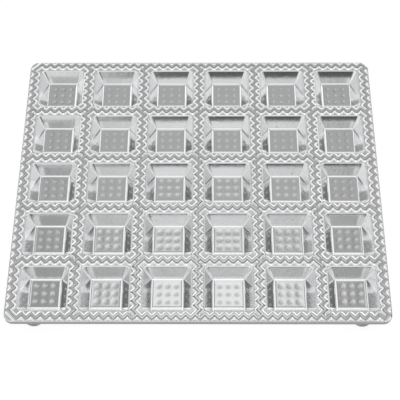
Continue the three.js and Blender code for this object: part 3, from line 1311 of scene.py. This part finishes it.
@dataclass
class FootStand:
    """One foot with the washer and the screw that hold it to the casting.

    Lengths are millimetres and angles degrees. The profile of the screw's head is (share of its radius,
    height over its lowest point).
    """

    corner: Corner
    foot_height: float = 3.2
    top_radius: float = 7.6
    top_round: float = 0.35
    top_steps: int = 4
    bottom_radius: float = 7.0
    bottom_round: float = 0.9
    bottom_steps: int = 6
    foot_draft: float = 4.0
    foot_steps: int = 72
    recess_radius: float = 4.1
    recess_depth: float = 2.3
    recess_bevel: float = 0.2
    bore: float = 1.75
    washer_radius: float = 3.8
    washer_thickness: float = 0.5
    washer_bevel: float = 0.12
    screw_radius: float = 1.45
    screw_tip: float = 8.7
    tip_length: float = 1.4
    tip_share: float = 0.4
    head_radius: float = 2.8
    head_height: float = 1.5
    head_profile: tuple[Point, ...] = (
        (0.0, 0.0), (0.45, 0.02), (0.70, 0.14), (0.88, 0.42), (0.97, 0.80)
    )
    head_edge: float = 0.2
    head_draft: float = 0.05
    drive_length: float = 3.0
    drive_width: float = 0.7
    drive_depth: float = 0.7
    sharp_angle: float = 40.0
    centre: Point = field(init=False)

    def __post_init__(self) -> None:
        """Takes the place from the CAD foot."""
        low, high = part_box(f"foot_{self.corner.value}")
        middle = (low + high) / 2 / MM
        self.centre = (middle.x, middle.y)

    def dress(
        self, name: str, node: str, mesh: bpy.types.Mesh, finish: bpy.types.Material
    ) -> bpy.types.Object:
        """Dresses a piece and hangs it in the frame.

        Args:
            name: the piece's name.
            node: the CAD node that it stands for.
            mesh: its mesh.
            finish: its material.

        Returns:
            The piece.
        """
        mesh.materials.append(finish)
        mesh.shade_smooth()
        mesh.set_sharp_from_angle(angle=math.radians(self.sharp_angle))
        piece = add_object(f"{name}_{self.corner.value}", mesh)
        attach(piece, BODY)
        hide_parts(f"{node}_{self.corner.value}")
        return piece

    def rubber_foot(self) -> bpy.types.Mesh:
        """The low rubber foot.

        Returns:
            The mesh.
        """
        bottom, top = self.bottom_round, self.top_round
        mouth = (self.recess_radius + self.recess_bevel, 0.0)
        profile = [mouth]
        for x, y in arc(bottom, -90, -self.foot_draft, self.bottom_steps):
            profile.append((self.bottom_radius - bottom + x, bottom + y))
        for x, y in arc(top, 0, 90, self.top_steps):
            profile.append((self.top_radius - top + x, self.foot_height - top + y))
        profile += [
            (self.bore, self.foot_height),
            (self.bore, self.recess_depth),
            (self.recess_radius, self.recess_depth),
            (self.recess_radius, self.recess_bevel),
            mouth,
        ]
        return lathe(profile, self.centre, self.foot_steps)

    def steel_washer(self) -> bpy.types.Mesh:
        """The washer in the foot's recess.

        Returns:
            The mesh.
        """
        low = self.recess_depth - self.washer_thickness
        profile = [
            (self.bore, low),
            (self.washer_radius - self.washer_bevel, low),
            (self.washer_radius, low + self.washer_bevel),
            (self.washer_radius, self.recess_depth),
            (self.bore, self.recess_depth),
            (self.bore, low),
        ]
        return lathe(profile, self.centre)

    def pan_head_screw(self) -> bpy.types.Mesh:
        """The screw, head down.

        Returns:
            The mesh.
        """
        seat = self.recess_depth - self.washer_thickness
        low = seat - self.head_height
        radius = self.head_radius
        profile = [(share * radius, low + rise) for share, rise in self.head_profile]
        profile += [
            (radius, seat - self.head_edge),
            (radius - self.head_draft, seat),
            (self.screw_radius, seat),
            (self.screw_radius, self.screw_tip - self.tip_length),
            (self.tip_share * self.screw_radius, self.screw_tip),
            (0.0, self.screw_tip),
        ]
        body = add_object("turned_screw", lathe(profile, self.centre))
        work = bmesh.new()
        place = Matrix.Translation(Vector((*self.centre, low)) * MM)
        sizes = (self.drive_length, self.drive_width, 2 * self.drive_depth)
        long, wide, high = (size * MM for size in sizes)
        for size in ((long, wide, high, 1.0), (wide, long, high, 1.0)):
            bmesh.ops.create_cube(work, size=1.0, matrix=place @ Matrix.Diagonal(size))
        tool_mesh = bpy.data.meshes.new("drive")
        work.to_mesh(tool_mesh)
        work.free()
        tool = add_object("drive", tool_mesh)
        cut = body.modifiers.new("drive", "BOOLEAN")
        cut.operation = "DIFFERENCE"
        cut.object = tool
        cut.solver = "EXACT"
        cut.use_self = True
        as_plain_mesh(body)
        made = body.data
        bpy.data.objects.remove(body)
        bpy.data.objects.remove(tool)
        return made

    def build(self, rubber: bpy.types.Material, steel: bpy.types.Material) -> list[bpy.types.Object]:
        """Makes the foot, the washer and the screw.

        Args:
            rubber: the foot's material.
            steel: the washer's and the screw's material.

        Returns:
            The pieces.
        """
        return [
            self.dress("rubber_foot", "foot", self.rubber_foot(), rubber),
            self.dress("steel_washer", "washer", self.steel_washer(), steel),
            self.dress("pan_head_screw", "screw", self.pan_head_screw(), steel),
        ]


@dataclass(frozen=True)
class SkyPatch:
    """A round patch of the studio's dome: where it is, how wide and how bright.

    Angles are degrees. Azimuth 0 is behind the object, 90 to its right. The patch is full up to its inner
    angle and fades out up to its outer one.
    """

    azimuth: float
    elevation: float
    inner: float
    outer: float
    level: float
    mirrored: bool = False

    @property
    def directions(self) -> list[Spot]:
        """Where its middle lies, and its twin's on the other side.

        Returns:
            One or two unit vectors.
        """
        elevation = math.radians(self.elevation)
        flat = math.cos(elevation)
        found = []
        for side in (1, -1) if self.mirrored else (1,):
            azimuth = math.radians(side * self.azimuth)
            found.append((flat * math.sin(azimuth), flat * math.cos(azimuth), math.sin(elevation)))
        return found


@dataclass
class Studio:
    """Floor, sky and camera. Lengths are metres and angles degrees."""

    dome_level: float = 1.01
    patches: tuple[SkyPatch, ...] = (
        SkyPatch(180, 42, 12, 28, 0.45),
        SkyPatch(120, 40, 10, 24, 0.65, mirrored=True),
        SkyPatch(180, 72, 6, 13, 1.60),
        SkyPatch(30, 37, 4, 10, 1.60, mirrored=True),
        SkyPatch(70, 17, 20, 28, 0.16, mirrored=True),
        SkyPatch(60, 10, 4, 9, 0.60, mirrored=True),
        SkyPatch(126, 4, 4, 20, 0.40),
        SkyPatch(-126, 4, 4, 18, 0.50),
        SkyPatch(168, 6, 18, 34, 0.35),
        SkyPatch(-168, 6, 16, 32, 0.75),
        SkyPatch(173, 6, 10, 15, 0.09),
        SkyPatch(0, 12, 6, 12, 0.35),
        SkyPatch(40, 70, 5, 11, 0.55, mirrored=True),
        SkyPatch(0, 75, 5, 11, 0.65),
        SkyPatch(12, 51, 7, 10, 0.28, mirrored=True),
        SkyPatch(17, 62, 8, 11, 0.31, mirrored=True),
        SkyPatch(0, 56, 8, 12, 0.41),
        SkyPatch(0, 68, 2.5, 9, 0.90),
    )
    floor_colour: Colour = (0.9, 0.9, 0.9, 1.0)
    floor_glow: float = 1.1
    glow_share: float = 0.8
    floor_size: float = 60.0
    camera_elevation: float = 59.491
    camera_yaw: float = -0.873
    camera_roll: float = 0.730
    camera_distance: float = 0.73082
    camera_shift: Point = (-0.000927, 0.013936)
    camera_lens: float = 91.707
    camera_sensor: float = 36.0
    camera_near: float = 0.01
    aim_height: float = 0.0171

    def floor(self) -> bpy.types.Object:
        """A wide white floor that keeps a faint shadow and is clear from below.

        Returns:
            The floor.
        """
        made, tree, output = new_material("white_floor")
        path = "ShaderNodeLightPath"
        seen = tree.node(path, None, None, "Is Camera Ray")
        for ray in ("Is Glossy Ray", "Is Transmission Ray"):
            seen = seen.at_least(tree.node(path, None, None, ray))
        matt = tree.node("ShaderNodeBsdfDiffuse", None, {"Color": self.floor_colour})
        bright = tree.node("ShaderNodeEmission", None, {"Color": WHITE, "Strength": self.floor_glow})
        mixed = tree.node("ShaderNodeMixShader", None, {0: seen * self.glow_share, 1: matt, 2: bright})
        clear = tree.node("ShaderNodeBsdfTransparent")
        from_below = tree.node("ShaderNodeNewGeometry", None, None, "Backfacing")
        one_sided = tree.node("ShaderNodeMixShader", None, {0: from_below, 1: mixed, 2: clear})
        tree.feed(output.inputs["Surface"], one_sided)
        mesh = bpy.data.meshes.new("floor")
        half = self.floor_size / 2
        corners = [(-half, -half, 0), (half, -half, 0), (half, half, 0), (-half, half, 0)]
        mesh.from_pydata(corners, [], [(0, 1, 2, 3)])
        mesh.materials.append(made)
        floor = add_object("studio_floor", mesh)
        return floor

    def sky(self) -> None:
        """A soft white dome with dimmer and brighter patches, as round a table in a studio."""
        world = bpy.data.worlds.new("studio")
        bpy.context.scene.world = world
        world.use_nodes = True
        world.node_tree.nodes.clear()
        tree = Tree(world.node_tree)
        direction = tree.node("ShaderNodeTexCoord", None, None, "Generated")
        level: Value = self.dome_level
        for patch in self.patches:
            ends = [math.cos(math.radians(angle)) for angle in (patch.outer, patch.inner)]
            for middle in patch.directions:
                sides = {0: direction, 1: middle}
                nearness = tree.node("ShaderNodeVectorMath", {"operation": "DOT_PRODUCT"}, sides, "Value")
                share = nearness.rises(*ends)
                level = share * patch.level + (1 - share) * level
        back = tree.node("ShaderNodeBackground", None, {"Color": WHITE, "Strength": level})
        output = world.node_tree.nodes.new("ShaderNodeOutputWorld")
        tree.feed(output.inputs["Surface"], back)

    def camera(self) -> bpy.types.Object:
        """The camera at the photograph's viewing angle.

        Returns:
            The camera.
        """
        data = bpy.data.cameras.new("camera")
        data.sensor_width = self.camera_sensor
        data.lens = self.camera_lens
        data.clip_start = self.camera_near
        camera = bpy.data.objects.new("camera", data)
        bpy.context.scene.collection.objects.link(camera)
        bpy.context.scene.camera = camera
        elevation = math.radians(self.camera_elevation)
        roll = math.radians(self.camera_roll)
        right = Vector((1.0, 0.0, 0.0))
        forward = Vector((0.0, math.cos(elevation), -math.sin(elevation)))
        up = Vector((0.0, math.sin(elevation), math.cos(elevation)))
        place = -self.camera_shift[0] * right - self.camera_shift[1] * up - self.camera_distance * forward
        tilted_right = math.cos(roll) * right - math.sin(roll) * up
        tilted_up = math.sin(roll) * right + math.cos(roll) * up
        facing = Matrix((tilted_right, tilted_up, -forward)).transposed().to_4x4()
        turned = Matrix.Rotation(-math.radians(self.camera_yaw), 4, "Z")
        lift = Matrix.Translation((0.0, 0.0, self.aim_height))
        camera.matrix_world = lift @ turned @ Matrix.Translation(place) @ facing
        return camera

    def build(self) -> None:
        """Sets the whole studio up."""
        self.floor()
        self.sky()
        self.camera()
        bpy.context.scene.view_settings.view_transform = "Standard"


def main() -> None:
    """Builds the mould piece by piece and the studio round it."""
    logging.basicConfig(level=logging.INFO, format="%(name)s: %(message)s")
    aluminium = CastAluminium().material()
    rubber = GreyRubber().material()
    steel = PlainSteel().material()
    pieces = [MouldPlate().build(aluminium)]
    for corner in Corner:
        pieces += FootStand(corner).build(rubber, steel)
    for piece in pieces:
        LOG.info("%s: %d faces", piece.name, len(piece.data.polygons))
    Studio().build()


if __name__ == "__main__":
    main()
